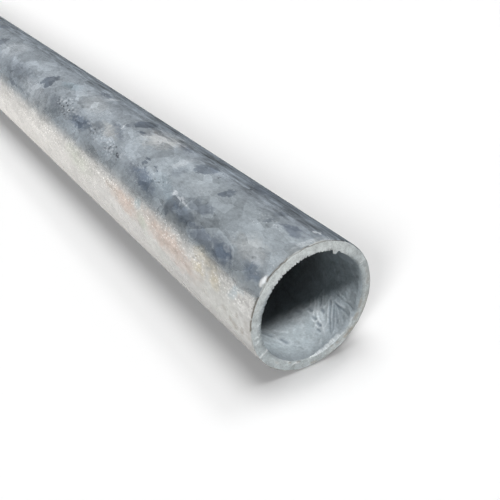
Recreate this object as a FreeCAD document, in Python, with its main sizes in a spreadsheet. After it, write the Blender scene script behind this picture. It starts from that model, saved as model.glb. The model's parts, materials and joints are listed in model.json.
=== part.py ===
import FreeCAD, Part
import Sketcher
import os

# Round galvanised steel fence post: one length of tube, sawn square at both ends.
# The tube lies along X, centred on the YZ plane, and touches the floor plane z = 0 along its lowest line.
# Lengths are millimetres.

NODE = "post_tube"
PARTS_FOLDER = "parts"

# alias, value, what it is
DRIVING_SIZES = [
    ("outer_diameter", "48.3", "outside diameter of the tube"),
    ("wall", "4.0", "wall thickness"),
    ("post_length", "1500", "overall length, cut face to cut face"),
    ("outer_edge_round", "0.6", "radius on the outside edge of each cut face"),
    ("inner_edge_break", "0.3", "chamfer on the bore edge of each cut face"),
]


def make_sheet(doc):
    """The driving dimensions, one aliased cell each."""
    sheet = doc.addObject("Spreadsheet::Sheet", "sizes")
    for row, (alias, value, meaning) in enumerate(DRIVING_SIZES, start=1):
        sheet.set(f"A{row}", meaning)
        sheet.set(f"B{row}", value)
        sheet.setAlias(f"B{row}", alias)
    doc.recompute()
    return sheet


def origin_plane(body, role):
    """One of the body's own origin planes, by its role."""
    return next(f for f in body.Origin.OriginFeatures if f.Role == role)


def add_ring_sketch(body, sheet):
    """The tube's cross-section: two circles about one centre, which stands a radius above the floor."""
    sketch = body.newObject("Sketcher::SketchObject", "tube_section")
    sketch.AttachmentSupport = [(origin_plane(body, "YZ_Plane"), "")]
    sketch.MapMode = "FlatFace"
    outside_radius = sheet.outer_diameter / 2
    centre = FreeCAD.Vector(0, outside_radius, 0)
    normal = FreeCAD.Vector(0, 0, 1)
    outside = sketch.addGeometry(Part.Circle(centre, normal, outside_radius))
    bore = sketch.addGeometry(Part.Circle(centre, normal, outside_radius - sheet.wall))
    # In a constraint, -2 is the sketch's vertical axis, and -1, 1 its origin.
    add_constraint(sketch, "Coincident", *centre_of(bore), *centre_of(outside))
    add_constraint(sketch, "PointOnObject", *centre_of(outside), -2)
    bind(sketch, "centre_height", "sizes.outer_diameter / 2",
         add_constraint(sketch, "DistanceY", -1, 1, *centre_of(outside), outside_radius))
    bind(sketch, "outside_diameter", "sizes.outer_diameter",
         add_constraint(sketch, "Diameter", outside, 2 * outside_radius))
    bind(sketch, "bore_diameter", "sizes.outer_diameter - 2 * sizes.wall",
         add_constraint(sketch, "Diameter", bore, 2 * (outside_radius - sheet.wall)))
    return sketch


def centre_of(circle):
    """A sketch circle's centre, as a constraint names it: the circle's index, then point 3."""
    return circle, 3


def add_constraint(sketch, *values):
    """Adds one constraint and gives its index."""
    return sketch.addConstraint(Sketcher.Constraint(*values))


def bind(sketch, name, expression, index):
    """Names a dimension of the sketch and ties it to the sheet."""
    sketch.renameConstraint(index, name)
    sketch.setExpression(f"Constraints.{name}", expression)


def rim_edges(feature, radius):
    """The names of the circular edges of that radius, one at each cut face."""
    tolerance = 1e-6
    return [
        f"Edge{number}"
        for number, edge in enumerate(feature.Shape.Edges, start=1)
        if isinstance(edge.Curve, Part.Circle) and abs(edge.Curve.Radius - radius) < tolerance
    ]


def make_post_tube(doc, sheet):
    """The post: the section padded to its length, with both cut ends' edges eased."""
    body = doc.addObject("PartDesign::Body", "post_tube_body")
    body.Label = NODE
    sketch = add_ring_sketch(body, sheet)
    pad = body.newObject("PartDesign::Pad", "tube_length")
    pad.Profile = sketch
    pad.SideType = "Symmetric"
    pad.setExpression("Length", "sizes.post_length")
    doc.recompute()

    outside_radius = sheet.outer_diameter / 2
    rounded = body.newObject("PartDesign::Fillet", "outer_edges")
    rounded.Base = (pad, rim_edges(pad, outside_radius))
    rounded.setExpression("Radius", "sizes.outer_edge_round")
    doc.recompute()

    broken = body.newObject("PartDesign::Chamfer", "bore_edges")
    broken.Base = (rounded, rim_edges(rounded, outside_radius - sheet.wall))
    broken.setExpression("Size", "sizes.inner_edge_break")
    doc.recompute()
    body.Tip = broken
    doc.recompute()
    return body


def check(doc, parts):
    """Stops the build if any object failed or any shape is empty or invalid."""
    failed = [o.Label for o in doc.Objects if {"Invalid", "Error"} & set(o.State)]
    if failed:
        raise RuntimeError(f"these objects failed: {failed}")
    for part in parts:
        if part.Shape.isNull() or not part.Shape.isValid() or not part.Shape.Solids:
            raise RuntimeError(f"{part.Label} has no valid solid")


def export(parts):
    """Writes each sub-part to its own file, named after its label."""
    os.makedirs(PARTS_FOLDER, exist_ok=True)
    for part in parts:
        part.Shape.exportStep(os.path.join(PARTS_FOLDER, f"{part.Label}.step"))
        print(part.Label, "volume", round(part.Shape.Volume, 3), part.Shape.BoundBox)


def main():
    doc = FreeCAD.newDocument("fence_post")
    sheet = make_sheet(doc)
    parts = [make_post_tube(doc, sheet)]
    check(doc, parts)
    export(parts)


main()
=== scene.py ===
import json
import math

import bpy
import numpy as np
from mathutils import Euler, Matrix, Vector


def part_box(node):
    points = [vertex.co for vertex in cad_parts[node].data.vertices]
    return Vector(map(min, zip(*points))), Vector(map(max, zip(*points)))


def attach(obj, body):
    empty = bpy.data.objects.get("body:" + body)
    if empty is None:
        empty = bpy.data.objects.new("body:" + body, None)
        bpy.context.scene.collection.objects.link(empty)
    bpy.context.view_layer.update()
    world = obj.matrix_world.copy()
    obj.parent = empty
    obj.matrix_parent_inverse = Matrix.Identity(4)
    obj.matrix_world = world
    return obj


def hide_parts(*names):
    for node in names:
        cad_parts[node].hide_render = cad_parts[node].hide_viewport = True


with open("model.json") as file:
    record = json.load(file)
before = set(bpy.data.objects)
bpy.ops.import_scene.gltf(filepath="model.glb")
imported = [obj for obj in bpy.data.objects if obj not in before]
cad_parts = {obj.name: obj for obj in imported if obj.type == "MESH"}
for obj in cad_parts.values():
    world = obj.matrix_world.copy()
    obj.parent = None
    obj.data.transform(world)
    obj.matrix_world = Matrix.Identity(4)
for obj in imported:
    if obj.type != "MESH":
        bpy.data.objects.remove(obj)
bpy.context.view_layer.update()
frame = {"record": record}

mm = 0.001
hair = 0.01 * mm  # tolerance
imageSide = 500  # pixels of the photograph, each way

# The tube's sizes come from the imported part
mounts = {mount["name"]: mount for mount in frame["record"]["mounts"]}
outerRadius = mounts["outside"]["dims"]["r_mm"] * mm
boreRadius = mounts["bore"]["dims"]["r_mm"] * mm
wall = outerRadius - boreRadius
axisZ = mounts["outside"]["pos_m"][2]
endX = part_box("post_tube")[1].x  # the sawn end that the photograph shows
length = 2 * endX
print("frame loaded: tube", round(length, 3), "m long,", round(2 * outerRadius, 4), "m across")


# Camera

cameraView = {
    "place": (0.90426, -0.12300, 0.15868),
    "pitchDown": 29.947,  # degrees
    "heading": 57.394,  # degrees from +Y towards -X
    "lens": 52.754,  # mm
    "sensor": 36,
}


def addCamera(view):
    turn = Euler((math.radians(90 - view["pitchDown"]), 0, math.radians(view["heading"])))
    bpy.ops.object.select_all(action="DESELECT")
    bpy.ops.object.camera_add(location=view["place"], rotation=turn)
    camera = bpy.context.object
    camera.name = "photoCamera"
    camera.data.lens = view["lens"]
    camera.data.sensor_width = view["sensor"]
    camera.data.clip_start = 0.01
    bpy.context.scene.camera = camera
    return camera


camera = addCamera(cameraView)
print("camera set")


# Places on the tube, found from a pixel of the photograph

def pixelRay(pixel):
    focal = imageSide * cameraView["lens"] / cameraView["sensor"]
    local = Vector((pixel[0] - imageSide / 2, imageSide / 2 - pixel[1], -focal))
    turn = camera.rotation_euler.to_matrix()
    return Vector(cameraView["place"]), (turn @ local).normalized()


def onCylinder(pixel, radius, farWall):
    start, along = pixelRay(pixel)
    y, z = start.y, start.z - axisZ
    a = along.y ** 2 + along.z ** 2
    b = y * along.y + z * along.z
    c = y ** 2 + z ** 2 - radius ** 2
    root = math.sqrt(max(b ** 2 - a * c, 0))
    point = start + along * ((-b + root if farWall else -b - root) / a)
    angle = math.atan2(-point.y, point.z - axisZ)  # 0 at the top, positive on the camera's side
    return point.x, angle


def onOutside(pixel):
    x, angle = onCylinder(pixel, outerRadius, False)
    return np.array((x, angle * outerRadius))  # along the tube, then round it


def onBore(pixel):
    x, angle = onCylinder(pixel, boreRadius, True)
    return np.array((endX - x, angle % (2 * math.pi) * boreRadius))  # depth, then round it from the top


def onFace(pixel):
    start, along = pixelRay(pixel)
    point = start + along * ((endX - start.x) / along.x)
    return np.array((point.y, point.z))  # across the sawn face


def seenOnFace(x, y, z):
    # Where each place appears on the plane of the sawn face, seen from the camera
    eye = cameraView["place"]
    share = (endX - eye[0]) / (x - eye[0])
    return eye[1] + share * (y - eye[1]), eye[2] + share * (z - eye[2])


# The tube: its wall section drawn as a closed outline, then spun round the axis

tubeMesh = {
    "segments": 500,
    "edgeRound": 0.4 * mm,
    "edgeSteps": 4,
    # Rows in mm from the sawn end that shows, up the wall on the faces, and from the hidden end
    "outsideRows": (0.5, 0.65, 0.8, 0.95, 1.1, 1.3, 1.6, 2, 2.5, 3.2, 4.2, 5.5, 7.5, 10, 13),
    "boreRows": (0.25, 0.5, 0.8, 1.15, 1.6),
    "faceRows": (0.2, 0.45, 0.7, 0.95, 1.2, 1.5, 1.8, 2.1, 2.4, 2.7, 3.0, 3.2, 3.4),
    "outsideLast": (30, 12, 5, 2, 0.8),
    "boreLast": (80, 40, 20, 10, 5, 2.5, 1.2, 0.6, 0.25),
    # Between them, even steps, and how far each goes: close ones as deep as the photograph shows
    "outsideSteps": ((30 * mm, 420 * mm), (120 * mm, length - 240 * mm)),
    "boreSteps": ((0.33 * mm, 25 * mm), (2.97 * mm, 45 * mm), (120 * mm, length - 240 * mm)),
    "merge": 0.004 * mm,
    "smoothAngle": 40,  # degrees
}


def rowPlaces(first, steps, last):
    places = [place * mm for place in first]
    for step, reach in steps:
        while places[-1] < reach:
            places.append(places[-1] + step)
    return places + [length - place * mm for place in last]


def selectWhere(mesh, test):
    bpy.ops.mesh.select_all(action="DESELECT")
    bpy.ops.object.mode_set(mode="OBJECT")
    for vertex in mesh.vertices:
        vertex.select = test(vertex.co)
    bpy.ops.object.mode_set(mode="EDIT")


def cutRing(places, axis, test):
    # Cuts the outline at each place along one axis, on the edges that the test picks
    tube = bpy.context.object
    for place in places:
        selectWhere(tube.data, test)
        point = [0, 0, 0]
        normal = [0, 0, 0]
        point[axis] = place
        normal[axis] = 1
        bpy.ops.mesh.bisect(plane_co=point, plane_no=normal)


def makeTube(sizes):
    outsideRows = rowPlaces(sizes["outsideRows"], sizes["outsideSteps"], sizes["outsideLast"])
    boreRows = rowPlaces(sizes["boreRows"], sizes["boreSteps"], sizes["boreLast"])
    middle = axisZ + (outerRadius + boreRadius) / 2
    bpy.ops.object.select_all(action="DESELECT")
    bpy.ops.mesh.primitive_plane_add(size=1, location=(0, 0, middle), rotation=(math.pi / 2, 0, 0))
    tube = bpy.context.object
    tube.name = "zinc_coated_tube"
    tube.scale = (length, wall, 1)
    bpy.ops.object.transform_apply(location=True, rotation=True, scale=True)
    bpy.ops.object.mode_set(mode="EDIT")
    bpy.ops.mesh.select_mode(type="VERT")
    selectWhere(tube.data, lambda co: co.z > middle)
    bpy.ops.mesh.bevel(offset=sizes["edgeRound"], segments=sizes["edgeSteps"], affect="VERTICES")
    bpy.ops.mesh.select_all(action="SELECT")
    bpy.ops.mesh.delete(type="ONLY_FACE")
    upper = outerRadius + axisZ - 10 * hair
    lower = boreRadius + axisZ + 10 * hair
    cutRing([endX - place for place in outsideRows], 0, lambda co: co.z > upper)
    cutRing([endX - place for place in boreRows], 0, lambda co: co.z < lower)
    faceRows = [axisZ + boreRadius + place * mm for place in sizes["faceRows"]]
    cutRing(faceRows, 2, lambda co: abs(co.x) > endX - mm)
    bpy.ops.mesh.select_all(action="SELECT")
    bpy.ops.mesh.spin(steps=sizes["segments"], angle=2 * math.pi, center=(0, 0, axisZ), axis=(1, 0, 0))
    bpy.ops.mesh.select_all(action="SELECT")
    bpy.ops.mesh.remove_doubles(threshold=sizes["merge"])
    bpy.ops.mesh.normals_make_consistent(inside=False)
    bpy.ops.object.mode_set(mode="OBJECT")
    print("tube spun:", len(tube.data.vertices), "vertices,", len(tube.data.polygons), "faces")
    return tube


tube = makeTube(tubeMesh)


# Relief of the sawn ends and of the zinc in the bore, moved vertex by vertex

sawnEnd = {
    "reach": 20 * mm,  # how deep any of this goes
    # Bands are degrees round the end, 0 at the top and positive on the camera's side,
    # and the degrees over which they set in
    "teeth": (-16, 116, 8),
    "toothSegments": 4,
    "toothSeed": 11,
    "toothRange": (0.35, 1.0),  # shares of the depth that a notch may have
    "toothBefore": 0.3,  # share of a notch on the segment before it
    "toothAfter": (0.25, 0.6),  # and after it
    "toothDepth": 0.85 * mm,
    "toothLeast": 0.08,  # share of it outside the band
    "toothReach": 0.75 * mm,
    "tabAngle": -22.5,
    "tabHalfWidth": 0.85 * mm,
    "tabSoft": 0.4 * mm,
    "tabDrop": 0.95 * mm,
    "tabNotch": (0.4 * mm, 0.5 * mm),  # depth and half width of the notch on each side of it
    "worn": (-172, -52, 24),  # where the bore edge is worn round
    "wornUp": 0.5 * mm,
    "wornBack": 1.3 * mm,
    "wornWaver": 0.25,
    "upperCut": 12,  # middle of the first saw cut
    "upperShade": (0.15, 0.95),  # its light at the sides, and how much more at the middle
    "stepAngles": (-59.6, 120.2, 1.6),  # where the second cut meets it
    "stepDepth": 0.13 * mm,
    "grainHeight": 0.03 * mm,
    "coarseHeight": 0.06 * mm,
    "crumbHeight": 0.2 * mm,
    "rough": (132, 184, 10),
    "roughUp": (1.1 * mm, 0.9 * mm),  # its middle up the wall, and half its width
    "roughHeight": 0.12 * mm,
    "lip": (-12, 106, 16),  # where the zinc coat has chipped back from the edge
    "lipDepth": (0.1 * mm, 0.6 * mm),  # least, and how much more the chips take
    "lipSharp": 0.15 * mm,
    "chipShares": (0.7, 0.6),  # of long and of short chips
    "chipSpread": (0.5, 0.8, 1.5),  # middle, spread and most
    "chipDepth": 0.08 * mm,
    "paleLip": (-14, 32, 14),  # where the coat is pale beside the edge
    "paleLipDepth": (1.2 * mm, 1.1 * mm),
    "creviceDepth": 0.1 * mm,
    "seenDepth": 4 * mm,  # the painted shade lines and the painted crest highlight are drawn no deeper
    "edgeLine": (128, 280, 24),  # painted shade along the lower edge, drawn brown, counted on past 180
    "edgeLineUp": (0.5 * mm, 0.2 * mm),
    "edgeLineDepth": 0.7 * mm,
    "edgeReach": 1.2 * mm,
    "edgeWaver": 0.06 * mm,
    "blobPixel": (264, 281),
    "blobHalfSize": (1.2 * mm, 1.9 * mm),
    "blobHeight": 0.45 * mm,
    "blobBelow": 0.6 * mm,
    "brown": (-158, -70, 24),  # bare steel that has browned, on the outer half
    "brownLight": (-158, -70, 30),
    "brownUp": (1.7 * mm, 0.9 * mm),
    "shadeBesideTeeth": (54, 136, 20),  # painted shade on the face beside the teeth
    "shadeBesideWorn": (-150, -48, 24),  # and painted shade beside the worn edge
    "edgeShadeUp": 1.1 * mm,
    # How much each counts in the colours
    "shares": {"brownLight": 0.4, "brown": 0.45, "pits": 0.8, "besideShade": 0.8, "rough": 0.5, "paleLip": 0.5},
}

# Below, each has its strength, half its width in mm, and its course as pixels of the photograph

faceCrumbs = {
    # Crumbs and torn threads of zinc on the sawn face, and a painted highlight on the burr
    "curl": (1.0, 0.3, [(255, 339), (256.5, 337.4), (258.8, 337)]),
    "curlTop": (0.8, 0.25, [(258.8, 337), (259.4, 334.5)]),
    "fleck": (0.8, 0.35, [(257.5, 326.5), (260, 324)]),
    "fleckLow": (0.6, 0.3, [(256, 345), (258.5, 341.5)]),
    "stepThread": (1.0, 0.42, [(260.6, 357.6), (262.5, 354.8), (265.6, 352.8), (267.5, 349)]),
    "bottomCurl": (0.9, 0.24, [(291.9, 365.8), (293.8, 363.9), (295.6, 362.6), (296.9, 363.9)]),
    "bottomFleck": (0.6, 0.3, [(285, 361.6), (288.6, 362)]),
    "bottomThread": (0.6, 0.26, [(274.5, 360.5), (277, 362.2)]),
    "rightThread": (1.0, 0.34, [(360.5, 262.5), (363, 260.5), (366, 257)]),
    # Painted highlight on the burr that hangs at the top of the bore edge
    "burrHighlight": (0.9, 0.26, [(329.5, 243), (331.3, 245.5), (330.2, 249)]),
}

wornEdgeHighlight = {
    # Painted highlight: a pale line along the worn part of the bore edge
    "right": (0.5, 0.3, [(353, 318.3), (350.6, 323.3), (348, 327.5), (345, 331.4)]),
    "middle": (0.6, 0.3, [(345, 331.4), (341.5, 335), (338, 338.3), (335, 341)]),
    "low": (0.75, 0.32, [(335, 341), (331.9, 343.9), (327.5, 348), (324.5, 350)]),
    "bottom": (0.7, 0.32, [(322.5, 351.4), (319, 353.6), (315.6, 355.8), (310, 357.4)]),
    "branch": (0.55, 0.25, [(320, 353.5), (319.6, 357)]),
}

facePits = {
    "bottomLeft": (0.5, 0.4, [(276.5, 362.5), (278, 363.5)]),
    "bottomMiddle": (0.6, 0.3, [(289, 363.4), (291, 363)]),
    "bottomRight": (0.6, 0.35, [(297.5, 362.6), (300, 362)]),
    "rightLow": (0.7, 0.45, [(331.5, 346.6), (332.5, 346)]),
    "right": (0.8, 0.5, [(337.2, 342.6), (338.2, 342)]),
    "rightHigh": (0.5, 0.4, [(355.5, 317.5), (357, 315)]),
    "topLeft": (0.4, 0.3, [(254.5, 313.2), (258, 310.8)]),
}

faceStains = {
    # Browned spots on the outer half
    "high": (0.9, 0.9, [(349.5, 331), (352, 328.6)]),
    "middle": (0.8, 0.8, [(345.2, 336.4), (347.4, 334)]),
    "top": (0.6, 0.8, [(355.5, 317.5), (357.5, 314)]),
    "low": (0.5, 0.7, [(316, 361.5), (312, 363)]),
    "last": (0.5, 0.8, [(360, 306), (361.5, 300)]),
}

creviceShadeLines = {
    # Painted shade in the crevice under the zinc coat along the upper edge
    "creviceLow": (1.0, 0.32, [(250.2, 331), (250.3, 326), (250.8, 321)]),
    "creviceLeft": (1.0, 0.3, [
        (251.2, 318), (252, 314), (253.5, 309), (254.3, 306), (256, 301.5), (258, 298)]),
    "creviceFaint": (0.4, 0.2, [(258, 298), (261, 292), (265, 284.5)]),
    "creviceBlob": (1.0, 0.3, [(267, 281.5), (268, 278.5), (270, 276), (273, 272), (275, 270)]),
    "creviceUpper": (1.0, 0.3, [(275, 270), (278.5, 267), (281, 263.8), (284.5, 261.6), (287, 258.5)]),
    "creviceGap": (0.45, 0.24, [(287, 258.5), (291, 255.5), (296, 253), (300, 251)]),
    "creviceTop": (0.8, 0.25, [(300, 251), (304, 248), (307, 246.5), (310, 246)]),
    "creviceTopRight": (0.7, 0.25, [(310, 246), (313, 244.5), (317, 242.6), (321, 241.4), (326, 240.3)]),
    "creviceLast": (0.5, 0.25, [(326, 240.3), (335, 239.8), (345, 241)]),
}

boreRuns = {
    # Ridges of zinc that ran and set; their paler colour is painted highlight
    "mainStem": (1.0, 0.42, [(314.5, 297.5), (315.6, 304), (314.2, 311), (313, 316)]),
    "mainLeft": (0.9, 0.42, [(312, 298.5), (311, 304), (309.3, 308.2)]),
    "mainLow": (1.0, 0.42, [(316.8, 312), (317.5, 318), (320.5, 322), (323, 327), (324, 331)]),
    "ridgeFar": (0.7, 0.3, [(318, 299), (320.5, 294), (324, 289.5)]),
    "ridgeFarLow": (0.7, 0.3, [(318, 299), (318.4, 304.5), (318, 310.7), (320, 315.7)]),
    "strandFar": (0.7, 0.3, [(323.7, 292.5), (323, 299), (322.5, 303)]),
    "arch": (0.8, 0.36, [(331, 297), (328.6, 301), (326.4, 305.5), (323.4, 308)]),
    "longRidge": (0.8, 0.32, [(329, 302), (328, 307), (327.8, 314.5), (327.5, 322), (324.8, 327.5)]),
    "nextRidge": (0.7, 0.3, [(332.6, 302), (332, 309.5), (331.5, 316), (331, 321)]),
    "thirdRidge": (0.5, 0.3, [(336.9, 310.8), (338, 314.5), (339, 319.5), (339.4, 323.3)]),
    "sideRun": (0.8, 0.45, [(335, 300), (337.5, 303), (340.6, 305.8), (344.4, 307.4)]),
    "sideRunHigh": (0.6, 0.3, [(345.6, 300.8), (348.8, 302.8), (351.3, 305.8), (353.6, 307.6)]),
    "hook": (0.9, 0.28, [(332.5, 333.5), (334.4, 330), (336.3, 332), (337.5, 334.5), (337.8, 336.4)]),
    "spot": (0.6, 0.45, [(335, 319.4), (335, 320.4)]),
    "spotHigh": (0.6, 0.4, [(339.4, 293), (340.6, 295.2)]),
    "shortStrand": (0.5, 0.3, [(341.3, 320.4), (342.5, 324)]),
    "lowStrand": (0.6, 0.32, [(321, 339.5), (319.4, 343.4)]),
    "lowThread": (0.4, 0.3, [(314, 331.5), (313, 336)]),
    "floorRun": (0.5, 0.8, [(262, 329), (273, 330.5), (287, 332)]),
    "floorPale": (0.5, 1.2, [(294, 319), (302, 319.5)]),
    "archRight": (0.5, 0.32, [(345, 314.5), (346, 320), (345, 325)]),
    "valleyRidge": (0.5, 0.26, [(335.2, 324), (334.6, 328.5)]),
    "lastRidge": (0.5, 0.3, [(349, 309), (350.6, 314), (350, 319)]),
    "mainBroad": (0.4, 1.1, [(316, 303), (317.4, 311), (321, 318.5), (324, 327), (324.5, 334)]),
    "rimOne": (0.9, 0.26, [(312.2, 319.6), (314.6, 321.8), (317.4, 321.2), (318, 318.6)]),
    "rimTwo": (0.9, 0.26, [(315.8, 325.4), (318.4, 328), (321.8, 327.6), (322.6, 325)]),
    "rimThree": (0.8, 0.26, [(307.8, 311), (310, 313.2), (313.2, 312.8)]),
}

boreFan = {
    # Ripples that spread towards the mouth from one place
    "depth": 17.1 * mm,
    "angle": -106.6,  # degrees
    "spread": (184, 256, 14),
    "reach": (2.5 * mm, 20 * mm, 4 * mm),
    "bend": (9, 3),  # degrees that they wander, in long and in short waves
    "height": 0.08 * mm,
}

boreRelief = {
    "start": 0.3 * mm,
    "runHeight": 0.16 * mm,
    "ringHeight": 0.06 * mm,  # round each crater
    "ringWiden": 1.8,
    "pitDepth": 0.16 * mm,
    "valleyDepth": 0.12 * mm,
    "swellHeight": 0.07 * mm,
    "fineSwell": 0.6,  # share of the short waves
    "swellStart": 2 * mm,
    "swellReach": 60 * mm,
    # How much each counts in the colours
    "paleShares": {"ring": 0.7, "ripple": 0.4, "swell": 0.25},
    "darkShares": {"hollow": 0.8, "valley": 0.6, "darkZone": 0.6, "ripple": 0.25},
}

borePits = {
    # Craters and hollows between the ridges, painted darker as shade, with a painted highlight on a pale
    # ring round each
    "craterOne": (1.0, 0.6, [(312.8, 316.6), (315.8, 319.2)]),
    "craterTwo": (1.0, 0.55, [(317.2, 322.8), (320.6, 325.6)]),
    "craterThree": (0.9, 0.6, [(309.2, 308.6), (311.8, 311)]),
    "craterFour": (0.8, 0.8, [(295.4, 309.4), (300.4, 313)]),
    "craterFive": (0.8, 0.7, [(321.6, 309.8), (323.6, 312)]),
    "craterSix": (0.9, 0.5, [(317.8, 329.4), (320, 331.2)]),
    "lens": (1.0, 1.1, [(281.6, 339.6), (286.4, 342.4)]),
    "lensEdge": (0.9, 1.0, [(261.6, 332.8), (271, 336)]),
    "dimOne": (0.5, 0.4, [(292.5, 345.8), (295, 346.4)]),
    "dimTwo": (0.6, 0.42, [(298.8, 347), (302.5, 348.3)]),
    "slot": (0.6, 0.5, [(322.2, 341.5), (323, 346)]),
    "hookWell": (0.5, 0.7, [(334.6, 334), (334.6, 336)]),
    "patch": (0.6, 0.8, [(340, 327), (342, 327)]),
}

boreValleys = {
    # Lines between the ripples, painted darker as shade
    "longValley": (0.8, 0.32, [(330.4, 300), (329.8, 304.5), (329.4, 315.8), (329.7, 325), (330, 332)]),
    "farValley": (0.8, 0.4, [(321, 297), (321.3, 301), (320.6, 306)]),
    "sideValley": (0.9, 0.42, [(335.6, 304), (338.8, 307), (342.5, 309.5), (346, 312.6), (348.8, 317)]),
    "sideValleyHigh": (0.7, 0.34, [(346.9, 302.6), (350.6, 306.4), (352.5, 310)]),
    "stemValley": (0.6, 0.34, [(319.2, 313), (320, 319), (321.6, 321)]),
    "nextValley": (0.6, 0.32, [(333.8, 306), (333.6, 314), (333.2, 322), (332.4, 330)]),
    "thirdValley": (0.5, 0.32, [(336, 311), (336.8, 316), (337, 323)]),
    "fourthValley": (0.5, 0.32, [(341, 312), (342.5, 317), (343.6, 321)]),
}

boreDarkZones = {
    # Darker zones, with no relief: painted shade at the left, over the fan of ripples and to its right, and
    # a darker band just inside the mouth
    "shadeLeft": (0.5, 3.2, [(268, 321), (283, 317)]),
    "front": (0.45, 1.3, [(268, 350.8), (280, 355.8), (295, 358.9), (303, 357.8)]),
    "fan": (0.75, 3.6, [(338, 300), (336, 318), (334, 334)]),
    "fanRight": (0.5, 3.0, [(346, 306), (345, 322)]),
}


def wrapped(angle):
    return (angle + np.pi) % (2 * np.pi) - np.pi


def hump(distance, width):
    return np.exp(-(distance / width) ** 2)


def softBand(value, low, high, soft):
    rise = np.clip((value - low) / soft + 0.5, 0, 1)
    fall = np.clip((high - value) / soft + 0.5, 0, 1)
    return rise * fall


noises = {
    # Step along the tube or up the wall, cells in a whole turn, and the seed
    "wear": (1 * mm, 90, 4),
    "grain": (0.45 * mm, 330, 5),
    "coarse": (1.3 * mm, 70, 6),
    "crumble": (0.5 * mm, 200, 8),
    "chips": (1 * mm, 46, 9),
    "fineChips": (1 * mm, 130, 10),
    "edgeWaver": (1 * mm, 110, 14),
    "brownPatches": (1.2 * mm, 60, 15),
    "palePatches": (0.8 * mm, 110, 17),
    "tornThreads": (0.4 * mm, 300, 18),
    "edgeLineGaps": (1 * mm, 34, 19),
    "swell": (2.4 * mm, 70, 21),
    "fineSwell": (1.1 * mm, 150, 22),
    "fanBend": (3.5 * mm, 40, 23),
    "ripples": (1 * mm, 170, 24),
    "fanWaver": (1.3 * mm, 90, 25),
}

patchTones = {
    # Middle and spread
    "brownPatches": (0.5, 0.8),
    "palePatches": (0.6, 0.5),
    "tornThreads": (0.75, 0.5),
    "edgeLineGaps": (0.45, 0.5),
}


def softNoise(name, along, angle):
    # Smooth noise from -1 to 1, on a lattice that closes round the tube
    step, cells, seed = noises[name]
    rows = 97
    lattice = np.random.default_rng(seed).uniform(-1, 1, (rows, cells))
    u = along / step
    v = (angle / (2 * np.pi) % 1) * cells
    row, column = np.floor(u).astype(int), np.floor(v).astype(int)
    s, t = u - row, v - column
    s, t = s * s * (3 - 2 * s), t * t * (3 - 2 * t)
    near, far = row % rows, (row + 1) % rows
    left, right = column % cells, (column + 1) % cells
    return ((lattice[near, left] * (1 - t) + lattice[near, right] * t) * (1 - s)
            + (lattice[far, left] * (1 - t) + lattice[far, right] * t) * s)


def patches(name, along, angle):
    middle, spread = patchTones[name]
    return np.clip(middle + spread * softNoise(name, along, angle), 0, 1)


def distanceToPath(along, around, path):
    best = np.full(len(along), 1.0)
    for start, end in zip(path[:-1], path[1:]):
        step = end - start
        share = ((along - start[0]) * step[0] + (around - start[1]) * step[1]) / (step @ step)
        share = np.clip(share, 0, 1)
        gap = np.hypot(along - start[0] - share * step[0], around - start[1] - share * step[1])
        best = np.minimum(best, gap)
    return best


def toothDepths(segments, spec):
    # One notch every few segments, each of its own depth
    rng = np.random.default_rng(spec["toothSeed"])
    depths = np.zeros(segments)
    for start in range(0, segments, spec["toothSegments"]):
        place = start + rng.integers(0, 2)
        depth = rng.uniform(*spec["toothRange"])
        depths[(place - 1) % segments] += spec["toothBefore"] * depth
        depths[place % segments] = depth
        depths[(place + 1) % segments] = depth * rng.uniform(*spec["toothAfter"])
    return depths


def nearPaths(along, around, paths, place, widen=1):
    # The named paths' strengths, falling to 0 beside them
    cover = np.zeros(len(along))
    for strength, width, path in paths.values():
        gap = distanceToPath(along, around, [place(pixel) for pixel in path])
        cover = np.maximum(cover, strength * hump(gap, widen * width * mm))
    return cover


def readPlaces(mesh):
    flat = np.empty(3 * len(mesh.vertices))
    mesh.vertices.foreach_get("co", flat)
    x, y, z = flat.reshape(-1, 3).T
    return x.copy(), np.arctan2(-y, z - axisZ), np.hypot(y, z - axisZ)


def writePlaces(mesh, x, angle, radius):
    flat = np.stack([x, -radius * np.sin(angle), axisZ + radius * np.cos(angle)], axis=1)
    mesh.vertices.foreach_set("co", flat.ravel())
    mesh.update()


def addAttribute(mesh, name, values):
    mesh.attributes.new(name, "FLOAT", "POINT").data.foreach_set("value", values.astype(np.float32))


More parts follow.
